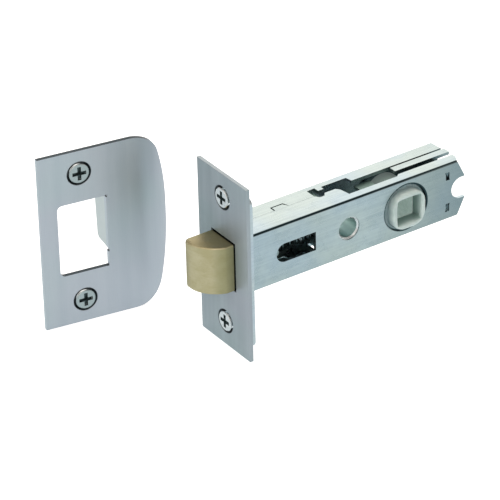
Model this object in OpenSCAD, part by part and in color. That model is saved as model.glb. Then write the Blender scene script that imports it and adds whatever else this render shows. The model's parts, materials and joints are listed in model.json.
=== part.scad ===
// Tubular mortice latch in a rectangular case, with its full-lip strike plate.
// Origin: centre of the forend's outer face. +X runs along the case into the door,
// +Z is up and the near side of the case faces -Y. Millimetres.

/* [Forend] */
// Height of the forend plate
forend_h = 57.15; // [54:0.05:66]
// Width of the forend plate
forend_w = 25; // [22:0.5:28]
// Thickness of the forend plate
forend_t = 1.2; // [1:0.1:1.6]
// Distance between the two forend screws
screw_pitch = 41.3; // [38:0.1:44]
// Height of the plate behind the forend
backing_h = 49; // [47:0.5:52]
// Width of the plate behind the forend
backing_w = 24; // [20:0.5:25]
// Thickness of the plate behind the forend
backing_t = 1.2; // [1:0.1:1.6]

/* [Case] */
// Distance from the forend face to the hub centre
backset = 60; // [60:0.5:66]
// Height of the case
case_h = 19; // [18.6:0.1:20]
// Width of the case
case_w = 14; // [14:0.1:16]
// Thickness of the case sheet
sheet_t = 1.1; // [0.9:0.05:1.2]
// Radius of the folded long edges
fold_r = 0.9; // [0.3:0.1:1]
// Distance between the two through-fixing centres
fixing_pitch = 41; // [41:0.1:42]

/* [Bolt] */
// Bolt width
bolt_w = 11.4; // [11:0.1:11.6]
// Bolt height
bolt_h = 15.4; // [14.6:0.1:15.5]
// How far the bolt stands out of the forend
bolt_out = 10; // [8:0.1:10]
// Travel of the bolt when the hub is turned
bolt_travel = 9.81; // [8:0.01:9.9]

/* [Hub] */
// Size of the square hole for the spindle
spindle_sq = 8; // [7:0.1:8]
// Turn of the hub from rest to its stop, in degrees
hub_turn = 73; // [60:1:74]
// Radius of the hub bush where it runs in the case
journal_r = 7.62; // [7.5:0.02:7.68]

/* [Strike] */
// Height of the strike plate
strike_h = 57.15; // [54:0.05:60]
// Thickness of the strike plate
strike_t = 1.4; // [1.2:0.1:1.6]
// Width of the flat part of the strike plate
strike_flat = 31; // [30.5:0.1:33]
// Outer radius of the curved lip
lip_r = 14; // [12:0.5:18]
// How far the lip curves back, in degrees
lip_turn = 48; // [40:1:52]
// Distance between the two strike screws
strike_pitch = 42.5; // [41:0.1:44]
// Turn of the strike plate about the vertical
strike_yaw = -9.4; // [-15:0.1:0]

/* [Hidden] */
$fn = 64;
eps = 0.01;

// Colours
satin = [0.60, 0.65, 0.67];
zinc = [0.70, 0.77, 0.80];
brass = [0.67, 0.64, 0.50];
nickel = [0.72, 0.73, 0.73];
steel = [0.52, 0.56, 0.57];
nylon = [0.76, 0.79, 0.77];

// Levels shared by several pieces
case_x = forend_t + backing_t;
half_w = case_w / 2;
half_h = case_h / 2;
in_w = half_w - sheet_t;
in_h = half_h - sheet_t;
case_end = backset + 22;
flange_end = backset + 19;
mid_fix_x = backset - fixing_pitch / 2;
rear_fix_x = backset + fixing_pitch / 2;

// Forend
aperture_gap = 0.35;
aperture_w = bolt_w + 2 * aperture_gap;
aperture_h = bolt_h + 2 * aperture_gap;
front_tab_w = 3;
front_tab_z = 5.5;

// Case openings
window_x0 = 13.7;
window_x1 = 27.6;
window_r = 3.05;
hub_hole_r = 7.7;
fix_hole_r = 3.75;
notch_r = 3.5;
stake_x = backset + 15;
stake_z = 5.3;
stake_h = 2.4;
stake_gap = 0.1;
stake_sunk = 0.95;
seam_y = 1;
seam_gap = 0.03;

// Bolt and retractor
bolt_full = 6.5;
tail_end = 13.2;
tail_w = 6.7;
tail_h = 15;
boss_r = 2.5;
boss_l = 3;
rivet_x = 10;
rivet_r = 1.25;
rivet_head_r = 2;
plate_in = 3.4;
plate_out = 4.6;
arm_lo = 4.9;
arm_hi = 7.5;
neck_x = 43.4;
shelf_x0 = 47.5;
shelf_x1 = 53;
shelf_y = 1.6;
neck_lo = 6.8;
neck_hi = 7.7;
tab_x = backset - 3.75;
tab_t = 1.4;
tab_lo = 7;
tab_y = -1.2;

// Spring and its seat
seat_x = 33.4;
seat_t = 1.2;
wire_r = 0.45;
coil_r = 3.3;
coil_turns = 9;
guide_r = 2;
guide_l = 6.6;
tenon_r = 1.2;

// Hub
core_r = 6.3;
core_y = 4.85;
lobe_y0 = -2.9;
lobe_y1 = -1.3;
lobe_reach = 8.2;
lobe_r = 0.8;
shoulder_r = 7.95;
shoulder_y = 5.75;
journal_y = 6.1;
boss_y = 9.2;
boss_half = 6;
boss_corner = 4.6;
bush_sq = 8.4;

// Screws
head_r = 3.1;
head_out = 0.25;
head_chamfer = 0.18;
head_l = 0.85;
sink_r = 3.9;
neck_r = 2.2;
neck_gap = 0.1;
shank_r = 2;
thread_r = 1.5;
shank_l = 4.4;
screw_l = 5.6;
thread_pitch = 0.75;
slot_w = 1.15;
slot_l = 4.3;
slot_d = 0.6;
slot_core_r = 0.86;
slot_core_d = 1.4;

// Strike plate, in its own frame: X across, Z up, front face at y = 0
strike_at = [-38.4, 37.5, 0];
lip_end_x = 41.5;
lip_arc_r = 75;
lip_corner_r = 10;
strike_screw_x = 12.8;
strike_hole_x0 = 5.4;
strike_hole_x1 = 20.8;
strike_hole_half = 11.85;
strike_hole_r = 1.6;
tang_z0 = -6.1;
tang_z1 = 11.2;
tang_l = 9.2;
tang_cut = 0.9;
relief_r = 0.5;

// A box given by its lowest and highest corners
module block(low, high) {
    translate(low) cube(high - low);
}

// A round bar along X
module bar_x(x0, x1, r) {
    translate([x0, 0, 0]) rotate([0, 90, 0]) cylinder(h = x1 - x0, r = r);
}

// A round bar along Y through x, z
module bar_y(y0, y1, r, x = 0, z = 0) {
    translate([x, y0, z]) rotate([-90, 0, 0]) cylinder(h = y1 - y0, r = r);
}

// A cone or bar along Y with a radius at each end
module cone_y(y0, y1, r0, r1, x = 0, z = 0) {
    translate([x, y0, z]) rotate([-90, 0, 0]) cylinder(h = y1 - y0, r1 = r0, r2 = r1);
}

// A plate that faces -X, with round corners
module round_plate_x(x0, x1, w, h, r) {
    block([x0, -w / 2, -h / 2 + r], [x1, w / 2, h / 2 - r]);
    block([x0, -w / 2 + r, -h / 2], [x1, w / 2 - r, h / 2]);
    for (side = [-1, 1], up = [-1, 1])
        translate([0, side * (w / 2 - r), up * (h / 2 - r)]) bar_x(x0, x1, r);
}

// A bar along Y whose section is a square with round corners
module round_square_y(y0, y1, half, r) {
    block([-half, y0, -half + r], [half, y1, half - r]);
    block([-half + r, y0, -half], [half - r, y1, half]);
    for (side = [-1, 1], up = [-1, 1])
        bar_y(y0, y1, r, side * (half - r), up * (half - r));
}

// Copies its children above and below the case's centre plane
module above_and_below() {
    children();
    mirror([0, 0, 1]) children();
}

// A countersunk screw along +X with a cross recess, its head in plates of that thickness
module screw(plates_t) {
    neck_l = max(plates_t - 0.03, head_l + 0.05);
    rings = floor((screw_l - shank_l) / thread_pitch);
    profile = concat(
        [[0, -head_out], [head_r - head_chamfer, -head_out], [head_r, head_chamfer - head_out],
         [head_r, 0], [neck_r, head_l], [neck_r, neck_l], [shank_r, neck_l], [shank_r, shank_l]],
        [for (k = [0 : rings - 1], side = [0, 1])
            [side == 0 ? thread_r : shank_r, shank_l + (k + (side + 1) / 2) * thread_pitch]],
        [[thread_r, screw_l], [0, screw_l]]
    );
    difference() {
        rotate([0, 90, 0]) rotate_extrude() polygon(profile);
        block([-1, -slot_w / 2, -slot_l / 2], [slot_d, slot_w / 2, slot_l / 2]);
        block([-1, -slot_l / 2, -slot_w / 2], [slot_d, slot_l / 2, slot_w / 2]);
        bar_x(-1, slot_core_d, slot_core_r);
    }
}

// The cone that a countersunk head sits in, from a face at the origin along +X
module countersink(depth) {
    slope = (head_r - neck_r) / head_l;
    hole_r = neck_r + neck_gap;
    translate([-eps, 0, 0]) rotate([0, 90, 0]) {
        cylinder(h = depth + 2 * eps, r = hole_r);
        cylinder(h = (sink_r - hole_r) / slope + eps, r1 = sink_r + slope * eps, r2 = hole_r);
    }
}

module forend_plate() {
    color(satin) difference() {
        block([0, -forend_w / 2, -forend_h / 2], [forend_t, forend_w / 2, forend_h / 2]);
        block([-1, -aperture_w / 2, -aperture_h / 2], [forend_t + 1, aperture_w / 2, aperture_h / 2]);
        above_and_below() translate([0, 0, screw_pitch / 2]) countersink(forend_t);
    }
}

module backing_plate() {
    backing_hole_r = 2.6;
    tab_gap = 0.05;
    color(zinc) difference() {
        round_plate_x(forend_t, case_x, backing_w, backing_h, 2);
        block([0, -aperture_w / 2, -aperture_h / 2], [case_x + 1, aperture_w / 2, aperture_h / 2]);
        above_and_below() {
            translate([0, 0, screw_pitch / 2]) bar_x(0, case_x + 1, backing_hole_r);
            block(
                [0, -half_w - tab_gap, front_tab_z - front_tab_w / 2 - tab_gap],
                [case_x + 1, half_w + tab_gap, front_tab_z + front_tab_w / 2 + tab_gap]
            );
        }
    }
}

// Side wall of a case half, on the -Y side, with its front tabs
module case_wall() {
    difference() {
        translate([0, -in_w, 0]) rotate([90, 0, 0]) linear_extrude(sheet_t)
            polygon([
                [case_x, -half_h], [flange_end, -half_h], [case_end, -notch_r],
                [case_end, notch_r], [flange_end, half_h], [case_x, half_h]
            ]);
        bar_y(-half_w - 1, -in_w + 1, notch_r, rear_fix_x);
        block([rear_fix_x, -half_w - 1, -notch_r], [case_end + 1, -in_w + 1, notch_r]);
        bar_y(-half_w - 1, -in_w + 1, hub_hole_r, backset);
        bar_y(-half_w - 1, -in_w + 1, fix_hole_r, mid_fix_x);
        above_and_below() block(
            [stake_x - stake_gap, -half_w - 1, stake_z - stake_h / 2 - stake_gap],
            [stake_x + sheet_t + stake_gap, -in_w + 1, stake_z + stake_h / 2 + stake_gap]
        );
    }
    above_and_below() block(
        [forend_t + 0.1, -half_w, front_tab_z - front_tab_w / 2],
        [case_x + eps, -in_w, front_tab_z + front_tab_w / 2]
    );
}

// Top flange of a case half, from its outline seen from above
module flange(outline) {
    translate([0, 0, in_h]) linear_extrude(sheet_t) polygon(outline);
}

// What the round fold takes off the case's long edge at y = -half_w, z = half_h
module fold_cut() {
    difference() {
        block([0, -half_w - 1, half_h - fold_r], [case_end + 1, -half_w + fold_r, half_h + 1]);
        translate([0, -half_w + fold_r, half_h - fold_r]) bar_x(-1, case_end + 2, fold_r);
    }
}

module case_near_half() {
    outline = [
        [case_x, -half_w], [flange_end, -half_w], [flange_end + 1.2, -4.5],
        [flange_end + 1.2, -3.1], [backset + 0.2, -3.1], [backset - 0.8, -3.95], [41.8, -3.95],
        [41.2, -0.4], [40.2, 0.8], [36.4, 0.8], [35.4, -0.5], [33.8, -0.5],
        [32.7, seam_y - seam_gap], [23.6, seam_y - seam_gap], [22.6, 2.65], [18.95, 2.65],
        [18.95, seam_y - seam_gap], [case_x, seam_y - seam_gap]
    ];
    color(zinc) difference() {
        union() {
            case_wall();
            above_and_below() flange(outline);
        }
        above_and_below() fold_cut();
        bar_y(-half_w - 1, -in_w + 1, window_r, window_x0 + window_r);
        block([window_x0 + window_r, -half_w - 1, -window_r], [window_x1, -in_w + 1, window_r]);
    }
}

module case_far_half() {
    outline = [
        [case_x, half_w], [flange_end + 0.4, half_w], [flange_end + 0.8, 2.05], [46.9, 2.05],
        [46.5, 4.3], [37.5, 4.3], [37.5, 2.9], [35.5, 2.9], [35.5, 4.8], [32.7, 4.6],
        [32.7, seam_y + seam_gap], [23.75, seam_y + seam_gap], [23, 3.1], [18.5, 3.1],
        [18.5, seam_y + seam_gap], [case_x, seam_y + seam_gap]
    ];
    color(zinc) difference() {
        union() {
            mirror([0, 1, 0]) case_wall();
            above_and_below() flange(outline);
        }
        above_and_below() mirror([0, 1, 0]) fold_cut();
        above_and_below() block(
            [seat_x - 0.05, in_w - 1, stake_z - stake_h / 2 - 0.05],
            [seat_x + seat_t + 0.05, half_w + 1, stake_z + stake_h / 2 + 0.05]
        );
    }
}

// Cross plate that ties the two halves behind the hub, with a strip along top and bottom
module rear_bridge() {
    edge = 0.05;
    strip_y0 = -1.1;
    strip_y1 = 1.35;
    strip_t = 1;
    color(zinc) {
        block([stake_x, -in_w + edge, -in_h + edge], [stake_x + sheet_t, in_w - edge, in_h - edge]);
        above_and_below() {
            block(
                [stake_x, -half_w + stake_sunk, stake_z - stake_h / 2],
                [stake_x + sheet_t, half_w - stake_sunk, stake_z + stake_h / 2]
            );
            block([stake_x, strip_y0, 0], [stake_x + sheet_t, strip_y1, half_h]);
            block(
                [backset + 0.5, strip_y0, half_h - strip_t],
                [backset + 20.5, strip_y1, half_h]
            );
        }
    }
}

// Spacer tube that carries the front through-fixing and keeps the halves apart
module fixing_sleeve() {
    sleeve_r = fix_hole_r - 0.05;
    sleeve_bore_r = 3.1;
    sleeve_y = half_w - 0.3;
    collar_r = 4.3;
    collar_y0 = in_w - 0.6;
    chamfer = 0.4;
    color(nickel) difference() {
        union() {
            bar_y(-sleeve_y, sleeve_y, sleeve_r, mid_fix_x);
            bar_y(-in_w + 0.05, -collar_y0, collar_r, mid_fix_x);
            bar_y(collar_y0, in_w - 0.05, collar_r, mid_fix_x);
        }
        bar_y(-half_w, half_w, sleeve_bore_r, mid_fix_x);
        for (turn = [0, 180]) translate([mid_fix_x, 0, 0]) rotate([0, 0, turn])
            cone_y(-sleeve_y - eps, -sleeve_y + chamfer, sleeve_bore_r + chamfer, sleeve_bore_r);
    }
}

module spring_seat() {
    edge = 0.05;
    seat_y0 = -3.1;
    color(zinc) difference() {
        union() {
            block([seat_x, seat_y0, -in_h + edge], [seat_x + seat_t, in_w - edge, in_h - edge]);
            above_and_below() block(
                [seat_x, in_w - 1, stake_z - stake_h / 2],
                [seat_x + seat_t, half_w - edge, stake_z + stake_h / 2]
            );
        }
        bar_x(seat_x - 1, seat_x + seat_t + 1, tenon_r + 0.03);
    }
}

// Pin on the seat that keeps the spring straight, riveted over behind the seat
module spring_guide() {
    color(steel) {
        bar_x(seat_x - guide_l, seat_x, guide_r);
        bar_x(seat_x - eps, seat_x + seat_t + eps, tenon_r);
        bar_x(seat_x + seat_t, seat_x + seat_t + 0.7, guide_r);
    }
}

// Distance along X of the spring's centre line after the given number of turns
spring_x0 = tail_end + 0.05 + wire_r;
spring_x1 = seat_x - 0.02 - wire_r;
end_rise = 2.2 * wire_r;
function coil_x(turn) =
    turn < 1 ? spring_x0 + end_rise * turn :
    turn > coil_turns - 1 ? spring_x1 - end_rise * (coil_turns - turn) :
    spring_x0 + end_rise
        + (spring_x1 - spring_x0 - 2 * end_rise) * (turn - 1) / (coil_turns - 2);

module bolt_spring() {
    sides = 8;
    steps = 14;
    rings = coil_turns * steps;
    points = [
        for (k = [0 : rings], s = [0 : sides - 1])
            let (turn = k / steps, a = 360 * turn, b = 360 * s / sides,
                 r = coil_r + wire_r * cos(b))
                [coil_x(turn) + wire_r * sin(b), r * cos(a), r * sin(a)]
    ];
    walls = [
        for (k = [0 : rings - 1], s = [0 : sides - 1])
            let (n = (s + 1) % sides)
                [k * sides + s, (k + 1) * sides + s, (k + 1) * sides + n, k * sides + n]
    ];
    first = [for (s = [0 : sides - 1]) s];
    last = [for (s = [sides - 1 : -1 : 0]) rings * sides + s];
    color(steel) polyhedron(points, concat(walls, [first, last]));
}

// Bevelled latch bolt with a narrower tail and a boss for the spring
module bolt_head() {
    bevel_r = 10.5;
    bevel_y = 4.3;
    tip_r = 0.9;
    back_r = 1.8;
    tip_x = -bolt_out;
    half_bw = bolt_w / 2;
    half_bh = bolt_h / 2;
    color(brass) difference() {
        union() {
            intersection() {
                block([tip_x - 1, -half_bw, -half_bh], [bolt_full, half_bw, half_bh]);
                union() {
                    translate([tip_x + bevel_r, bevel_y, -half_bh - 1])
                        cylinder(h = bolt_h + 2, r = bevel_r, $fn = 96);
                    block([tip_x + bevel_r, -half_bw, -half_bh], [bolt_full, half_bw, half_bh]);
                }
                union() {
                    block([tip_x, -half_bw, -half_bh + tip_r], [bolt_full, half_bw, half_bh - tip_r]);
                    block([tip_x + tip_r, -half_bw, -half_bh], [bolt_full, half_bw, half_bh]);
                    for (up = [-1, 1])
                        bar_y(-half_bw, half_bw, tip_r, tip_x + tip_r, up * (half_bh - tip_r));
                }
            }
            block([bolt_full - 1, -tail_w / 2, -tail_h / 2], [tail_end, tail_w / 2, tail_h / 2]);
            bar_x(tail_end - 1, tail_end + boss_l, boss_r);
        }
        difference() {
            block([tip_x - 1, half_bw - back_r, -bolt_h], [tip_x + back_r, half_bw + 1, bolt_h]);
            translate([tip_x + back_r, half_bw - back_r, -bolt_h]) cylinder(h = 2 * bolt_h, r = back_r);
        }
        bar_y(-half_bw, half_bw, rivet_r, rivet_x);
    }
}

module bolt_rivet() {
    rivet_head_l = 0.7;
    color(steel) {
        bar_y(-plate_out - eps, tail_w / 2 + eps, rivet_r, rivet_x);
        bar_y(-plate_out - rivet_head_l, -plate_out, rivet_head_r, rivet_x);
        bar_y(tail_w / 2, tail_w / 2 + rivet_head_l, rivet_head_r, rivet_x);
    }
}

// Forked plate that the follower pushes back, riveted to the side of the bolt's tail.
// Its short lug reaches past the tail and guards the spring's first coil.
module retractor() {
    web_h = 14.6;
    lug_x = 14.6;
    lug_z = -0.7;
    lug_r = 1.3;
    lug_in = 4;
    lug_out = 4.9;
    color(zinc) difference() {
        union() {
            block([bolt_full + 0.2, -plate_out, -web_h / 2], [tail_end, -plate_in, web_h / 2]);
            block([tail_end - 1, -lug_out, lug_z - lug_r], [lug_x, -lug_in, lug_z + lug_r]);
            bar_y(-lug_out, -lug_in, lug_r, lug_x, lug_z);
            above_and_below() {
                block([tail_end - 1, -plate_out, arm_lo], [neck_x, -plate_in, arm_hi]);
                block([neck_x - 1, -plate_out, neck_lo], [tab_x + tab_t, -plate_in, neck_hi]);
                block([shelf_x0, -plate_in - eps, neck_lo], [shelf_x1, shelf_y, neck_hi]);
                block([tab_x, -plate_out, tab_lo], [tab_x + tab_t, tab_y, neck_hi]);
            }
        }
        bar_y(-plate_out - 1, -plate_in + 1, rivet_r + 0.03, rivet_x);
    }
}

// Turned core with the spindle's square hole and two lobes that lean towards the bolt
module follower() {
    half_sq = spindle_sq / 2;
    lean = hub_turn / 2;
    color(steel) translate([backset, 0, 0]) difference() {
        union() {
            bar_y(-core_y, core_y, core_r);
            above_and_below() rotate([0, -lean, 0]) {
                block([-lobe_r, lobe_y0, 0], [lobe_r, lobe_y1, lobe_reach]);
                bar_y(lobe_y0, lobe_y1, lobe_r, 0, lobe_reach);
            }
        }
        block([-half_sq, -core_y - 1, -half_sq], [half_sq, core_y + 1, half_sq]);
    }
}

// Nylon bush that runs in the case and stands out round the spindle's hole
module hub_bush() {
    half_sq = bush_sq / 2;
    edge_r = 0.35;
    difference() {
        union() {
            bar_y(-shoulder_y, -core_y - 0.05, shoulder_r);
            bar_y(-journal_y + edge_r, -shoulder_y + eps, journal_r);
            cone_y(-journal_y, -journal_y + edge_r + eps, journal_r - edge_r, journal_r);
            round_square_y(-boss_y, -journal_y + eps, boss_half, boss_corner);
        }
        block([-half_sq, -boss_y - 1, -half_sq], [half_sq, 0, half_sq]);
    }
}

module hub_bush_near() {
    color(nylon) translate([backset, 0, 0]) hub_bush();
}

module hub_bush_far() {
    color(nylon) translate([backset, 0, 0]) mirror([0, 1, 0]) hub_bush();
}

module forend_screw_upper() {
    color(nickel) translate([0, 0, screw_pitch / 2]) screw(forend_t + backing_t);
}

module forend_screw_lower() {
    color(nickel) translate([0, 0, -screw_pitch / 2]) screw(forend_t + backing_t);
}

// Moves a child from the strike plate's own frame to its place beside the latch
module at_strike() {
    translate(strike_at) rotate([0, 0, strike_yaw]) children();
}

// Solid behind the strike's outline, seen from the front: straight sides and a rounded free edge
module strike_outline() {
    half = strike_h / 2;
    arc_x = lip_end_x - lip_arc_r;
    corner_z = half - lip_corner_r;
    reach = lip_arc_r - lip_corner_r;
    corner_x = arc_x + sqrt(reach * reach - corner_z * corner_z);
    meet_z = corner_z * lip_arc_r / reach;
    depth = lip_r + 1;
    block([0, -1, -half], [corner_x, depth, half]);
    above_and_below() bar_y(-1, depth, lip_corner_r, corner_x, corner_z);
    intersection() {
        translate([arc_x, -1, 0]) rotate([-90, 0, 0]) cylinder(h = depth + 1, r = lip_arc_r, $fn = 180);
        block([corner_x - 1, -1, -meet_z], [lip_end_x + 1, depth, meet_z]);
    }
}

module strike_plate() {
    half = strike_h / 2;
    hole_mid = strike_hole_half - strike_hole_r;
    color(satin) at_strike() {
        difference() {
            intersection() {
                union() {
                    block([0, 0, -half], [strike_flat, strike_t, half]);
                    translate([strike_flat, lip_r, -half]) rotate([0, 0, -90])
                        rotate_extrude(angle = lip_turn, $fn = 128)
                            translate([lip_r - strike_t, 0]) square([strike_t, strike_h]);
                }
                strike_outline();
            }
            block([strike_hole_x0, -1, -hole_mid], [strike_hole_x1, strike_t + 1, hole_mid]);
            block(
                [strike_hole_x0 + strike_hole_r, -1, -strike_hole_half],
                [strike_hole_x1, strike_t + 1, strike_hole_half]
            );
            above_and_below()
                bar_y(-1, strike_t + 1, strike_hole_r, strike_hole_x0 + strike_hole_r, hole_mid);
            for (z = [tang_z0 - relief_r, tang_z1 + relief_r])
                bar_y(-1, strike_t + 1, relief_r, strike_hole_x1, z);
            above_and_below() translate([strike_screw_x, 0, strike_pitch / 2]) rotate([0, 0, 90])
                countersink(strike_t);
        }
        strike_tang();
    }
}

// Flap folded back from the hole's right edge, with its free corners cut off
module strike_tang() {
    tang_t = 1.2;
    bend_in = 0.4;
    translate([strike_hole_x1, 0, 0]) rotate([0, -90, 0]) mirror([0, 0, 1]) linear_extrude(tang_t)
        polygon([
            [tang_z0, bend_in], [tang_z0, tang_l - 2 * tang_cut], [tang_z0 + tang_cut, tang_l - tang_cut],
            [tang_z1 - tang_cut, tang_l], [tang_z1, tang_l - tang_cut], [tang_z1, bend_in]
        ]);
}

module strike_screw(up) {
    color(nickel) at_strike() translate([strike_screw_x, 0, up * strike_pitch / 2])
        rotate([0, 0, 90]) screw(strike_t);
}

module strike_screw_upper() {
    strike_screw(1);
}

module strike_screw_lower() {
    strike_screw(-1);
}

forend_plate();
backing_plate();
case_near_half();
case_far_half();
rear_bridge();
fixing_sleeve();
spring_seat();
spring_guide();
bolt_spring();
bolt_head();
bolt_rivet();
retractor();
follower();
hub_bush_near();
hub_bush_far();
forend_screw_upper();
forend_screw_lower();
strike_plate();
strike_screw_upper();
strike_screw_lower();
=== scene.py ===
import json
import math

import bmesh
import bpy
from mathutils import Matrix, Vector


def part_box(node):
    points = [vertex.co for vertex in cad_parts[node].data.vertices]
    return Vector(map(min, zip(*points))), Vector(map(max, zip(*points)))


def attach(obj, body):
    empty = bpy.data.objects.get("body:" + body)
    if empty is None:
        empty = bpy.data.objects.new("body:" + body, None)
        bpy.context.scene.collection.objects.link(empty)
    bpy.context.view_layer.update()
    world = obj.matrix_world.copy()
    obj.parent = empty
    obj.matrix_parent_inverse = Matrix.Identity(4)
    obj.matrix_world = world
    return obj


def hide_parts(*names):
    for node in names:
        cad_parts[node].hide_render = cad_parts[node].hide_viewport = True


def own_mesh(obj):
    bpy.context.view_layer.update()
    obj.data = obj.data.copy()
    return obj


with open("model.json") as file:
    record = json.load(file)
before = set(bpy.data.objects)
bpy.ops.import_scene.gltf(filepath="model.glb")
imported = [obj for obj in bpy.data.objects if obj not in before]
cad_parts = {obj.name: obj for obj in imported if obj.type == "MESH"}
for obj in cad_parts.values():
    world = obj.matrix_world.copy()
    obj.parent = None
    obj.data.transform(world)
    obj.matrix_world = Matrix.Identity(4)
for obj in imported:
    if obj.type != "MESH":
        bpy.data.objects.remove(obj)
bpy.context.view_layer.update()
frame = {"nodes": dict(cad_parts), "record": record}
nodes = frame["nodes"]
MM = 0.001
WHITE = (1, 1, 1, 1)

# Places on the part, in mm of its own frame
mounts = {mount["name"]: mount for mount in frame["record"]["mounts"]}
ALONG_X, ACROSS_Y = (1, 0, 0), (0, 1, 0)
FOREND_SCREW_Z = mounts["forend_fixing"]["dims"]["spacing_y_mm"] / 2
SLEEVE_X = mounts["through_fixing_front"]["pos_m"][0] / MM
SLEEVE_LONG = mounts["through_fixing_front"]["dims"]["length_mm"]
HUB_X = mounts["spindle_square"]["pos_m"][0] / MM
STAKE_X, STAKE_Z = 75.5, 5.3

# The strike: its front left edge, its turn, and its screws' and flap's places across it, in mm
STRIKE_X, STRIKE_Y, STRIKE_TURN = -38.4, 37.5, math.radians(9.4)
STRIKE_SCREW_Z = mounts["strike_fixing"]["dims"]["pcd_mm"] / 2
STRIKE_SCREW, STRIKE_FLAP, STRIKE_FLAP_Z = 12.8, 21.4, 2.5

# The hub's bushes, in mm: square hole, square boss, disc, shoulder, and the boss's soft edges
HOLE_HALF, HOLE_CORNER = 4.2, 0.3
BOSS_HALF, BOSS_CORNER = 6.0, 4.6
JOURNAL_R, JOURNAL_Y, JOURNAL_EDGE = 7.62, 6.1, 0.2
SHOULDER_R, SHOULDER_Y = 7.95, 5.75
CROWN, FILLET = 1.0, 0.5

# The camera at the photo's viewing angle: its place in mm, its turns in degrees and its lens
EYE = (-455.573, -696.128, 497.108)
AZIMUTH, ELEVATION, ROLL = 33.7292, 30.7010, -1.4189
LENS = 242.525


# ---------------------------------------------------------------- node helpers

def add(tree, kind, values=None, **settings):
    """A node with its settings, and with a value or a link on each named input."""
    node = tree.nodes.new(kind)
    for name, value in settings.items():
        setattr(node, name, value)
    for name, value in (values or {}).items():
        if isinstance(value, bpy.types.NodeSocket):
            tree.links.new(value, node.inputs[name])
        else:
            node.inputs[name].default_value = value
    return node


def rgb(r, g, b):
    """A colour from its 0 to 255 screen values."""
    def linear(c):
        c = c / 255
        return c / 12.92 if c <= 0.04045 else ((c + 0.055) / 1.055) ** 2.4
    return (linear(r), linear(g), linear(b), 1)


def mix(tree, factor, a, b):
    """Colour a where the factor is 0, and b where it is 1."""
    node = add(tree, "ShaderNodeMix", {0: factor, 6: a, 7: b}, data_type="RGBA")
    return node.outputs[2]


def calc(tree, how, a, b=0.0, c=0.0):
    """One arithmetic step."""
    return add(tree, "ShaderNodeMath", {0: a, 1: b, 2: c}, operation=how).outputs[0]


def product(tree, first, *others):
    """The product of several values."""
    for other in others:
        first = calc(tree, "MULTIPLY", first, other)
    return first


def spread(tree, value, low, high, to_low=0.0, to_high=1.0, smooth=False):
    """Maps low..high of a value to to_low..to_high."""
    node = add(tree, "ShaderNodeMapRange", {"Value": value, "From Min": low, "From Max": high,
                                            "To Min": to_low, "To Max": to_high})
    node.interpolation_type = "SMOOTHSTEP" if smooth else "LINEAR"
    return node.outputs["Result"]


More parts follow.
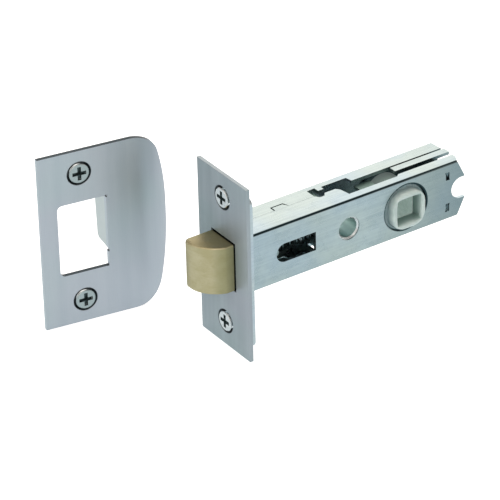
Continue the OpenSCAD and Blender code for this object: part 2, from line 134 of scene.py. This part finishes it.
class Finish:
    """A procedural material, with noise measured in millimetres of the part's own frame."""

    def __init__(self, name, metallic, roughness, **sockets):
        self.material = bpy.data.materials.new(name)
        self.material.use_nodes = True
        self.tree = self.material.node_tree
        self.tree.nodes.clear()
        self.shader = add(self.tree, "ShaderNodeBsdfPrincipled",
                          {"Metallic": metallic, "Roughness": roughness})
        for socket, value in sockets.items():
            self.shader.inputs[socket.replace("_", " ")].default_value = value
        add(self.tree, "ShaderNodeOutputMaterial", {"Surface": self.shader.outputs[0]})
        self.place = add(self.tree, "ShaderNodeTexCoord").outputs["Object"]

    def noise(self, per_mm, detail=3.0, rough=0.55, seed=0.0, distort=0.0):
        """Noise with the given number of features per mm along x, y and z."""
        where = add(self.tree, "ShaderNodeMapping", {
            "Vector": self.place, "Location": (seed, seed * 0.7, -seed),
            "Scale": tuple(s / MM for s in per_mm)}).outputs[0]
        return add(self.tree, "ShaderNodeTexNoise", {
            "Vector": where, "Scale": 1.0, "Detail": detail, "Roughness": rough,
            "Distortion": distort}).outputs[0]

    def axis(self, which):
        """A coordinate of the part's frame, in mm."""
        split = add(self.tree, "ShaderNodeSeparateXYZ", {0: self.place})
        return calc(self.tree, "MULTIPLY", split.outputs[which], 1 / MM)

    def off_middle(self, which):
        """How far a point is from the part's middle plane, in mm."""
        return calc(self.tree, "ABSOLUTE", self.axis(which))

    def facing(self, which, low, high):
        """1 where the part's own normal points along an axis, either way."""
        normal = add(self.tree, "ShaderNodeTexCoord").outputs["Normal"]
        split = add(self.tree, "ShaderNodeSeparateXYZ", {0: normal})
        size = calc(self.tree, "ABSOLUTE", split.outputs[which])
        return spread(self.tree, size, low, high, smooth=True)

    def drum(self, centre, axis, top, bottom, radius):
        """1 from top to bottom below a face, within a radius of an axis, above and below z = 0."""
        tree = self.tree
        split = add(tree, "ShaderNodeSeparateXYZ", {0: self.place})
        folded = add(tree, "ShaderNodeCombineXYZ", {
            0: split.outputs[0], 1: split.outputs[1],
            2: calc(tree, "ABSOLUTE", split.outputs[2])}).outputs[0]
        way = tuple(Vector(axis).normalized())
        start = tuple(c * MM for c in centre)
        local = add(tree, "ShaderNodeVectorMath", {0: folded, 1: start}, operation="SUBTRACT")
        local = local.outputs[0]
        deep = add(tree, "ShaderNodeVectorMath", {0: local, 1: way}, operation="DOT_PRODUCT")
        out = add(tree, "ShaderNodeVectorMath", {0: local, 1: way}, operation="CROSS_PRODUCT")
        away = add(tree, "ShaderNodeVectorMath", {0: out.outputs[0]}, operation="LENGTH")
        deep, away = deep.outputs["Value"], away.outputs["Value"]
        below = spread(tree, deep, top * MM, (top + 0.12) * MM)
        over = spread(tree, deep, bottom * MM, (bottom - 0.1) * MM)
        near = spread(tree, away, radius * MM, (radius - 0.1) * MM)
        return product(tree, below, over, near)

    def hub_drum(self, radius, x=HUB_X):
        """1 within a radius of the hub's axis."""
        return self.drum((x, 0, 0), ACROSS_Y, -20.0, 30.0, radius)

    def set(self, color, rough):
        self.tree.links.new(color, self.shader.inputs["Base Color"])
        self.tree.links.new(rough, self.shader.inputs["Roughness"])

    def bump(self, height, depth_mm):
        """Adds relief on top of the relief that is there."""
        below = self.shader.inputs["Normal"]
        values = {"Height": height, "Distance": depth_mm * MM, "Strength": 1.0}
        if below.is_linked:
            values["Normal"] = below.links[0].from_socket
        made = add(self.tree, "ShaderNodeBump", values)
        self.tree.links.new(made.outputs[0], below)


# ---------------------------------------------------------------- materials

def satin_plate(name, dark, light, rough, metallic, screw, edge_shade=0.0, flap=None):
    """Satin plated steel, brushed along its height, with dark rings of painted shade round its
    screws, painted shade on faces that point up and down, and painted light on its flap.
    """
    f = Finish(name, metallic, rough)
    tree = f.tree
    bands = f.noise((0.22, 0.22, 0.006), 2.0, 0.5, 3.0)
    lines = f.noise((5.0, 5.0, 0.12), 4.0, 0.7, 8.0)
    smudge = f.noise((0.06, 0.06, 0.05), 3.0, 0.5, 5.0)
    hue = f.noise((0.035, 0.035, 0.045), 1.0, 0.4, 12.0)
    tone = calc(tree, "ADD", calc(tree, "MULTIPLY", bands, 0.6), calc(tree, "MULTIPLY", lines, 0.4))
    base = mix(tree, spread(tree, tone, 0.35, 0.65), dark, light)
    base = mix(tree, spread(tree, smudge, 0.45, 0.75, 0.0, 0.12), base, rgb(225, 232, 234))
    greenish = mix(tree, 0.1, base, rgb(150, 190, 190))
    lilac = mix(tree, 0.14, base, rgb(190, 176, 205))
    base = mix(tree, spread(tree, hue, 0.35, 0.65), greenish, lilac)
    # Painted shade: faces that point up and down are darkened.
    edge_shade_mask = calc(tree, "MULTIPLY", f.facing(2, 0.6, 0.9), edge_shade)
    base = mix(tree, edge_shade_mask, base, rgb(24, 42, 50))
    # Painted shade in the countersinks round the screws.
    base = mix(tree, f.drum(*screw, 0.02, 1.35, 3.95), base, rgb(46, 56, 60))
    if flap:
        # Painted light: the bent flap is made paler, for the brighter light it catches.
        base = mix(tree, f.drum(*flap, 1.5, 30.0, 12.0), base, rgb(204, 211, 211))
    worn = calc(tree, "ADD", lines, smudge)
    f.set(base, spread(tree, worn, 0.7, 1.3, rough - 0.04, rough + 0.06))
    f.bump(lines, 0.003)
    return f.material


def case_shade(f, base, fold_shade):
    """Painted shade on the case: a dark band along its upper fold, dark slanted stake slots and a
    dark ring round the hub hole; its side also darkens towards the rear.
    """
    tree = f.tree
    # Painted shade along the upper fold.
    corner = product(tree, f.facing(1, 0.2, 0.5), f.facing(2, 0.2, 0.5),
                     spread(tree, f.axis(2), 5.0, 6.0), fold_shade)
    base = mix(tree, corner, base, rgb(16, 42, 48))
    rear = product(tree, f.facing(1, 0.6, 0.9), spread(tree, f.axis(0), 45.0, 80.0, 0.0, 0.7))
    base = mix(tree, rear, base, rgb(120, 138, 141))
    # Painted shade in the slanted stake slots.
    height = calc(tree, "SUBTRACT", f.off_middle(2), STAKE_Z)
    slant = calc(tree, "MULTIPLY", height, 0.4)
    along = calc(tree, "ADD", calc(tree, "SUBTRACT", f.axis(0), STAKE_X), slant)
    slot = product(tree, spread(tree, calc(tree, "ABSOLUTE", along), 0.42, 0.3),
                   spread(tree, calc(tree, "ABSOLUTE", height), 1.37, 1.32),
                   spread(tree, f.off_middle(1), 5.5, 5.6))
    base = mix(tree, slot, base, rgb(40, 52, 56))
    # Painted shade round the hub hole.
    hole_shade = product(tree, f.hub_drum(8.1, HUB_X + 0.15), spread(tree, f.axis(2), -6.5, -2.0))
    return mix(tree, hole_shade, base, rgb(38, 58, 62))


def zinc_sheet(name, dark, light, rough, streak=0.5, fold_shade=0.0, shade_before_x=0.0):
    """Zinc plated rolled sheet: streaks along its length and a soft mottle."""
    f = Finish(name, 1.0, rough)
    tree = f.tree
    streaks = f.noise((0.03, 1.6, 1.6), 4.0, 0.65, 2.0)
    mottle = f.noise((0.25, 0.3, 0.3), 4.0, 0.6, 6.0, 0.6)
    grit = f.noise((6.0, 9.0, 9.0), 2.0, 0.5, 1.0)
    hue = f.noise((0.05, 0.06, 0.06), 2.0, 0.5, 3.0)
    tone = calc(tree, "ADD", calc(tree, "MULTIPLY", streaks, streak),
                calc(tree, "MULTIPLY", mottle, 1 - streak))
    base = mix(tree, spread(tree, tone, 0.36, 0.64), dark, light)
    bluish = mix(tree, 0.14, base, rgb(150, 182, 214))
    yellowish = mix(tree, 0.14, base, rgb(196, 206, 178))
    base = mix(tree, spread(tree, hue, 0.38, 0.62), bluish, yellowish)
    if fold_shade:
        base = case_shade(f, base, fold_shade)
    # Painted shade for parts inside the case: dark in front of the given x, and a dimmer grey-green
    # along the top.
    if shade_before_x:
        base = mix(tree, spread(tree, f.axis(0), shade_before_x + 0.15, shade_before_x - 0.1), base, rgb(38, 50, 52))
        shelf_shade = spread(tree, f.axis(2), 6.4, 6.7, 0.0, 0.9)
        base = mix(tree, shelf_shade, base, rgb(112, 134, 126))
    f.set(base, spread(tree, mottle, 0.3, 0.7, rough - 0.06, rough + 0.08))
    f.bump(streaks, 0.008)
    f.bump(grit, 0.003)
    return f.material


def brass():
    """Satin brass, lightly tarnished and brushed across its nose, with painted shade on its top and
    side faces, towards its far side, and near-black inside the case.
    """
    f = Finish("brass_bolt", 1.0, 0.4)
    tree = f.tree
    lines = f.noise((0.15, 0.15, 7.0), 4.0, 0.7, 4.0)
    blotch = f.noise((0.22, 0.22, 0.3), 4.0, 0.6, 9.0, 0.4)
    speck = f.noise((2.2, 2.2, 2.2), 2.0, 0.5, 2.0)
    # Painted shade: faces that point up, and faces that point sideways, are darkened.
    top = calc(tree, "MULTIPLY", f.facing(2, 0.7, 0.95), 0.6)
    side = calc(tree, "MULTIPLY", f.facing(1, 0.7, 0.95), 0.75)
    base = mix(tree, spread(tree, blotch, 0.35, 0.7), rgb(199, 189, 155), rgb(186, 176, 137))
    base = mix(tree, spread(tree, lines, 0.5, 0.75, 0.0, 0.35), base, rgb(170, 158, 118))
    base = mix(tree, spread(tree, speck, 0.66, 0.78, 0.0, 0.3), base, rgb(150, 138, 100))
    base = mix(tree, top, base, rgb(128, 118, 84))
    base = mix(tree, side, base, rgb(150, 146, 108))
    # Painted shade towards the far side, and near-black painted shade inside the case.
    base = mix(tree, spread(tree, f.axis(1), 3.9, 5.2, 0.0, 0.6), base, rgb(142, 142, 112))
    base = mix(tree, spread(tree, f.axis(0), -0.4, -0.15), base, rgb(14, 26, 24))
    f.set(base, spread(tree, calc(tree, "ADD", lines, blotch), 0.7, 1.3, 0.34, 0.5))
    f.bump(lines, 0.012)
    f.bump(blotch, 0.01)
    return f.material


def nickel(name, shade, rough, tones_and_shade):
    """Nickel plate with fine turning marks and slight wear, toned in some heads and holes, and with
    painted shade in some recesses.
    """
    f = Finish(name, 1.0, rough)
    tree = f.tree
    wear = f.noise((1.2, 1.2, 1.2), 4.0, 0.6, 7.0)
    fine = f.noise((8.0, 8.0, 8.0), 3.0, 0.6, 3.0)
    base = mix(tree, spread(tree, wear, 0.35, 0.7), shade, rgb(236, 238, 238))
    polish = spread(tree, wear, 0.3, 0.7, rough - 0.05, rough + 0.1)
    for place, color, rougher in tones_and_shade:
        there = f.drum(*place)
        base = mix(tree, there, base, color)
        polish = calc(tree, "ADD", polish, calc(tree, "MULTIPLY", there, rougher))
    f.set(base, polish)
    f.bump(fine, 0.004)
    return f.material


def oiled_steel(name, dark, light, rough, metallic=1.0, glow=0.0):
    """Oiled steel. A glow is painted light, standing for light through the nylon, and the steel is
    painted darker away from the hub, as shade.
    """
    f = Finish(name, metallic, rough, Emission_Color=(0.85, 1.0, 0.96, 1), Emission_Strength=glow)
    tree = f.tree
    cloud = f.noise((0.8, 0.8, 0.8), 4.0, 0.6, 5.0)
    fine = f.noise((5.0, 5.0, 5.0), 3.0, 0.6, 1.0)
    base = mix(tree, spread(tree, cloud, 0.35, 0.68), dark, light)
    if glow:
        # Painted shade away from the hub.
        base = mix(tree, f.hub_drum(5.8), rgb(120, 142, 132), base)
    f.set(base, spread(tree, fine, 0.3, 0.7, rough - 0.06, rough + 0.1))
    f.bump(fine, 0.006)
    return f.material


def nylon():
    """Natural nylon: milky and translucent, with painted shade at its rim, in its hole and towards
    the case.
    """
    f = Finish("nylon_hub", 0.0, 0.38, IOR=1.53, Subsurface_Weight=0.55, Subsurface_Scale=0.002,
               Subsurface_Radius=(1.0, 1.1, 1.0), Coat_Weight=0.15, Coat_Roughness=0.25)
    tree = f.tree
    cloud = f.noise((0.35, 0.35, 0.35), 3.0, 0.5, 4.0)
    skin = f.noise((3.0, 3.0, 3.0), 3.0, 0.5, 2.0)
    height = f.off_middle(1)
    base = mix(tree, spread(tree, cloud, 0.35, 0.65), rgb(188, 204, 201), rgb(204, 217, 214))
    # Painted shade: darker teal towards the case.
    base = mix(tree, spread(tree, height, JOURNAL_Y, 8.4, 0.75, 0.0), base, rgb(124, 154, 160))
    # Painted shade at the rim and at the shoulder inside the case.
    outside = calc(tree, "SUBTRACT", 1.0, f.hub_drum(7.35))
    inside = spread(tree, height, 5.9, 6.05, 1.0, 0.0)
    rim_shade = calc(tree, "MULTIPLY", calc(tree, "MAXIMUM", outside, inside), 0.85)
    base = mix(tree, rim_shade, base, rgb(52, 84, 90))
    # Painted shade down in the square hole.
    bore_shade = product(tree, f.hub_drum(5.98), spread(tree, height, 6.5, 9.0, 0.8, 0.0))
    base = mix(tree, bore_shade, base, rgb(116, 138, 130))
    f.set(base, spread(tree, skin, 0.3, 0.7, 0.32, 0.46))
    f.bump(skin, 0.01)
    return f.material


def across_strike(along, z):
    """A point on the strike's face, in mm from its left edge, and the direction into its back."""
    out, over = math.sin(STRIKE_TURN), math.cos(STRIKE_TURN)
    return (STRIKE_X + along * over, STRIKE_Y - along * out, z), (out, over, 0)


forend_screw = ((0, 0, FOREND_SCREW_Z), ALONG_X)
strike_screw = across_strike(STRIKE_SCREW, STRIKE_SCREW_Z)
strike_flap = across_strike(STRIKE_FLAP, STRIKE_FLAP_Z)
sleeve_bore = ((SLEEVE_X, -SLEEVE_LONG / 2, 0), ACROSS_Y)
nickel_tones_and_shade = [  # the place with its top, bottom and radius in mm, its colour and added roughness
    ((*strike_screw, -1.0, 0.1, 3.4), rgb(176, 187, 188), 0.05),
    # Painted shade in the cross recesses of the forend's and strike's screws.
    ((*forend_screw, -0.16, 1.5, 2.19), rgb(104, 120, 122), 0.3),
    ((*strike_screw, -0.16, 1.5, 2.19), rgb(84, 98, 100), 0.3),
    ((*sleeve_bore, -0.1, SLEEVE_LONG, 3.4), rgb(196, 214, 212), 0.1),
]
finishes = {
    "satin_forend": satin_plate("satin_forend", rgb(150, 162, 167), rgb(169, 180, 185), 0.42, 0.5,
                                forend_screw),
    "satin_strike": satin_plate("satin_strike", rgb(186, 196, 202), rgb(197, 205, 210), 0.42, 0.8,
                                strike_screw, 0.97, strike_flap),
    "zinc_backing": zinc_sheet("zinc_backing", rgb(184, 196, 202), rgb(206, 216, 220), 0.3),
    "zinc_case": zinc_sheet("zinc_case", rgb(166, 181, 186), rgb(190, 204, 206), 0.28, fold_shade=0.97),
    # A darker, greener copy of the zinc, as painted shade for the parts that sit inside the case.
    "zinc_inner": zinc_sheet("zinc_inner", rgb(142, 160, 155), rgb(172, 186, 180), 0.4, 0.3,
                             shade_before_x=14.5),
    "spring_steel": oiled_steel("spring_steel", rgb(74, 90, 92), rgb(122, 138, 140), 0.28),
    "follower_steel": oiled_steel("follower_steel", rgb(168, 188, 180), rgb(190, 206, 200), 0.5,
                                  0.15, 0.11),
    "brass_bolt": brass(),
    "nickel_screw": nickel("nickel_screw", rgb(206, 212, 214), 0.24, nickel_tones_and_shade),
    "nylon_hub": nylon(),
}


# ---------------------------------------------------------------- CAD nodes

# How far faces bend at an edge, in degrees: joined if flat, shaded smooth, and rounded if sharp
FLAT, SMOOTH, SHARP = 0.3, 28, 30


def smooth_by_angle():
    """Joins the part's split corners and shades it smoothly, except across hard edges."""
    tree = bpy.data.node_groups.new("smooth_by_angle", "GeometryNodeTree")
    tree.interface.new_socket("Geometry", in_out="INPUT", socket_type="NodeSocketGeometry")
    tree.interface.new_socket("Geometry", in_out="OUTPUT", socket_type="NodeSocketGeometry")
    start = add(tree, "NodeGroupInput").outputs[0]
    joined = add(tree, "GeometryNodeMergeByDistance", {"Geometry": start, "Distance": 1e-6})
    plain = add(tree, "GeometryNodeRemoveAttribute",
                {"Geometry": joined.outputs[0], "Name": "custom_normal"})
    bend = add(tree, "GeometryNodeInputMeshEdgeAngle").outputs["Unsigned Angle"]
    soft = add(tree, "FunctionNodeCompare", {0: bend, 1: math.radians(SMOOTH)}, operation="LESS_THAN")
    faces = add(tree, "GeometryNodeSetShadeSmooth",
                {"Geometry": plain.outputs[0], "Shade Smooth": True})
    edges = add(tree, "GeometryNodeSetShadeSmooth",
                {"Geometry": faces.outputs[0], "Shade Smooth": soft.outputs[0]}, domain="EDGE")
    add(tree, "NodeGroupOutput", {"Geometry": edges.outputs[0]})
    return tree


def soften_edges(obj, smooth, width_mm, clamp):
    """Rounds the part's hard edges a little, so that they catch the light."""
    obj.modifiers.new("smooth", "NODES").node_group = smooth
    flat = obj.modifiers.new("flat", "DECIMATE")
    flat.decimate_type = "DISSOLVE"
    flat.angle_limit = math.radians(FLAT)
    bevel = obj.modifiers.new("bevel", "BEVEL")
    bevel.width = width_mm * MM
    bevel.segments = 3
    bevel.limit_method = "ANGLE"
    bevel.angle_limit = math.radians(SHARP)
    bevel.use_clamp_overlap = clamp
    bevel.harden_normals = True


for part in frame["record"]["subparts"]:
    obj = nodes[part["node"]]
    obj.data.materials.clear()
    obj.data.materials.append(finishes[part["material_slot"]])
joined_smooth = smooth_by_angle()
soften_edges(nodes["bolt_head"], joined_smooth, 0.5, clamp=False)
soften_edges(nodes["forend_plate"], joined_smooth, 0.12, clamp=True)
soften_edges(nodes["strike_plate"], joined_smooth, 0.15, clamp=True)


def smooth_piece(mesh, slot):
    """A smoothly shaded object for a mesh, named like it and in a slot's finish."""
    mesh.polygons.foreach_set("use_smooth", [True] * len(mesh.polygons))
    mesh.materials.append(finishes[slot])
    obj = bpy.data.objects.new(mesh.name, mesh)
    bpy.context.scene.collection.objects.link(obj)
    return obj


# ---------------------------------------------------------------- hub bushes

def reach(half, corner, turn):
    """How far the outline of a rounded square is from its centre, at an angle."""
    a = abs((turn + math.pi / 4) % (math.pi / 2) - math.pi / 4)
    flat = half - corner
    if half * math.tan(a) <= flat:
        return half / math.cos(a)
    along = flat * (math.cos(a) + math.sin(a))
    return along + math.sqrt(along ** 2 - 2 * flat ** 2 + corner ** 2)


def bush_rings(inner, outer, turns):
    """The bush's section, from its hole over the crowned boss and disc to its shoulder."""
    crown_steps, fillet_steps = 12, 4
    hole = [reach(HOLE_HALF, HOLE_CORNER, t) for t in turns]
    boss = [reach(BOSS_HALF, BOSS_CORNER, t) for t in turns]
    rings = [(inner, hole)]
    for k in range(crown_steps + 1):
        s = 0.5 - 0.5 * math.cos(math.pi * k / crown_steps)
        drop = CROWN * (1 - math.sqrt(max(0.0, 1 - abs(2 * s - 1) ** 3)))
        rings.append((outer - drop, [h + (b - h) * s for h, b in zip(hole, boss)]))
    for k in range(fillet_steps + 1):
        t = math.pi / 2 * k / fillet_steps
        wider = FILLET * (1 - math.cos(t))
        rings.append((JOURNAL_Y + FILLET * (1 - math.sin(t)), [b + wider for b in boss]))
    for y, r in ((JOURNAL_Y, JOURNAL_R - JOURNAL_EDGE), (JOURNAL_Y - JOURNAL_EDGE, JOURNAL_R),
                 (SHOULDER_Y, JOURNAL_R), (SHOULDER_Y, SHOULDER_R), (inner, SHOULDER_R)):
        rings.append((y, [r] * len(turns)))
    return rings


def moulded_bush(name, node):
    """A bush with a crowned square boss, lofted through rings round the hub's axis."""
    low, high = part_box(node)
    side = -1 if low.y < 0 else 1
    inner, outer = sorted((abs(low.y) / MM, abs(high.y) / MM))
    sides = 96
    turns = [2 * math.pi * k / sides for k in range(sides)]
    shape = bmesh.new()
    loops = []
    for y, radii in bush_rings(inner, outer, turns):
        loops.append([shape.verts.new(((HUB_X + r * math.cos(t)) * MM, side * y * MM,
                                       r * math.sin(t) * MM)) for r, t in zip(radii, turns)])
    for one, two in zip(loops, loops[1:] + loops[:1]):
        for k in range(sides):
            shape.faces.new((one[k - 1], one[k], two[k], two[k - 1]))
    bmesh.ops.recalc_face_normals(shape, faces=shape.faces)
    mesh = bpy.data.meshes.new(name)
    shape.to_mesh(mesh)
    shape.free()
    obj = smooth_piece(mesh, "nylon_hub")
    mesh.set_sharp_from_angle(angle=math.radians(40))
    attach(obj, "hub")
    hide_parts(node)


moulded_bush("moulded_bush_near", "hub_bush_near")
moulded_bush("moulded_bush_far", "hub_bush_far")


# ---------------------------------------------------------------- bolt spring

def coil(name, low, high, wire_r, turns):
    """The mesh of a wound spring along X with closed ends, in the box from low to high."""
    sides, steps = 14, 40
    coil_r = (high.z - low.z) / 2 - wire_r
    start, end = low.x + wire_r, high.x - wire_r
    rise = 2.2 * wire_r
    verts, faces = [], []
    for k in range(turns * steps + 1):
        turn = k / steps
        if turn < 1:
            x = start + rise * turn
        elif turn > turns - 1:
            x = end - rise * (turns - turn)
        else:
            x = start + rise + (end - start - 2 * rise) * (turn - 1) / (turns - 2)
        a = 2 * math.pi * turn
        for s in range(sides):
            b = 2 * math.pi * s / sides
            r = coil_r + wire_r * math.cos(b)
            verts.append((x + wire_r * math.sin(b), r * math.cos(a), r * math.sin(a)))
    for k in range(turns * steps):
        for s in range(sides):
            n = (s + 1) % sides
            faces.append((k * sides + s, (k + 1) * sides + s, (k + 1) * sides + n, k * sides + n))
    last = turns * steps * sides
    faces.append(tuple(range(sides)))
    faces.append(tuple(last + s for s in reversed(range(sides))))
    mesh = bpy.data.meshes.new(name)
    mesh.from_pydata(verts, [], faces)
    return mesh


low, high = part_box("bolt_spring")
wire_r, turns = 0.45 * MM, 9
spring = smooth_piece(coil("wound_bolt_spring", low, high, wire_r, turns), "spring_steel")
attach(spring, "case")
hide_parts("bolt_spring")
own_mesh(spring)


# ---------------------------------------------------------------- floor

lowest = min(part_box("forend_plate")[0].z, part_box("strike_plate")[0].z)
half = 4.0  # half the floor's side, in metres
floor_mesh = bpy.data.meshes.new("studio_floor")
corners = [(-half, -half, 0), (half, -half, 0), (half, half, 0), (-half, half, 0)]
floor_mesh.from_pydata(corners, [], [(0, 1, 2, 3)])
floor = bpy.data.objects.new("studio_floor", floor_mesh)
floor.location.z = lowest - 0.1 * MM
bpy.context.scene.collection.objects.link(floor)


def studio_paper():
    """Paper that looks pale, and that lights the part a little less brightly than it looks."""
    paper = bpy.data.materials.new("studio_floor")
    paper.use_nodes = True
    tree = paper.node_tree
    tree.nodes.clear()
    seen = add(tree, "ShaderNodeLightPath").outputs["Is Camera Ray"]
    matt = add(tree, "ShaderNodeBsdfDiffuse", {"Color": (0.40, 0.44, 0.46, 1)}).outputs[0]
    fill = add(tree, "ShaderNodeEmission", {"Color": (0.92, 1.0, 1.02, 1), "Strength": 0.54})
    soft = add(tree, "ShaderNodeAddShader", {0: matt, 1: fill.outputs[0]}).outputs[0]
    pale = add(tree, "ShaderNodeBsdfDiffuse", {"Color": (0.9, 0.9, 0.9, 1)}).outputs[0]
    glow = add(tree, "ShaderNodeEmission", {"Color": WHITE, "Strength": 0.75}).outputs[0]
    lit = add(tree, "ShaderNodeAddShader", {0: pale, 1: glow}).outputs[0]
    both = add(tree, "ShaderNodeMixShader", {0: seen, 1: soft, 2: lit}).outputs[0]
    add(tree, "ShaderNodeOutputMaterial", {"Surface": both})
    return paper


floor_mesh.materials.append(studio_paper())


# ---------------------------------------------------------------- light

def studio_sky():
    """An even warm sky with broad brighter and darker patches, seen as white."""
    patches = (  # direction, full within and gone at these degrees, and brightness added
        ((0.477, 0.715, 0.511), 20, 55, 0.76),
        ((-0.477, -0.239, 0.825), 12, 34, 0.7),
        ((0.477, -0.511, 0.715), 18, 40, -0.35),
        ((-0.477, 0.715, 0.511), 12, 42, -0.4),
    )
    sky = bpy.data.worlds.new("studio")
    sky.use_nodes = True
    tree = sky.node_tree
    tree.nodes.clear()
    way = add(tree, "ShaderNodeTexCoord").outputs["Generated"]
    level = 0.8
    for direction, inner, outer, added in patches:
        to_patch = Vector(direction).normalized()
        dot = add(tree, "ShaderNodeVectorMath", {0: way, 1: to_patch}, operation="DOT_PRODUCT")
        inside = spread(tree, dot.outputs["Value"], math.cos(math.radians(outer)),
                        math.cos(math.radians(inner)), smooth=True)
        level = calc(tree, "MULTIPLY_ADD", inside, added, level)
    level = calc(tree, "MAXIMUM", level, 0.02)
    seen = add(tree, "ShaderNodeLightPath").outputs["Is Camera Ray"]
    level = calc(tree, "MAXIMUM", level, seen)
    tint = mix(tree, seen, (1.0, 0.945, 0.895, 1), WHITE)
    light = add(tree, "ShaderNodeBackground", {"Color": tint, "Strength": level}).outputs[0]
    add(tree, "ShaderNodeOutputWorld", {"Surface": light})
    return sky


bpy.context.scene.world = studio_sky()


# ---------------------------------------------------------------- camera

camera_data = bpy.data.cameras.new("camera")
camera_data.sensor_width = 36
camera_data.lens = LENS
camera_data.clip_start, camera_data.clip_end = 0.05, 20
camera = bpy.data.objects.new("camera", camera_data)
heading = Matrix.Rotation(math.radians(-AZIMUTH), 4, "Z")
tilt = Matrix.Rotation(math.radians(90 - ELEVATION), 4, "X")
roll = Matrix.Rotation(math.radians(ROLL), 4, "Z")
camera.matrix_world = Matrix.Translation(Vector(EYE) * MM) @ heading @ tilt @ roll
bpy.context.scene.collection.objects.link(camera)
bpy.context.scene.camera = camera
bpy.context.scene.view_settings.view_transform = "Standard"
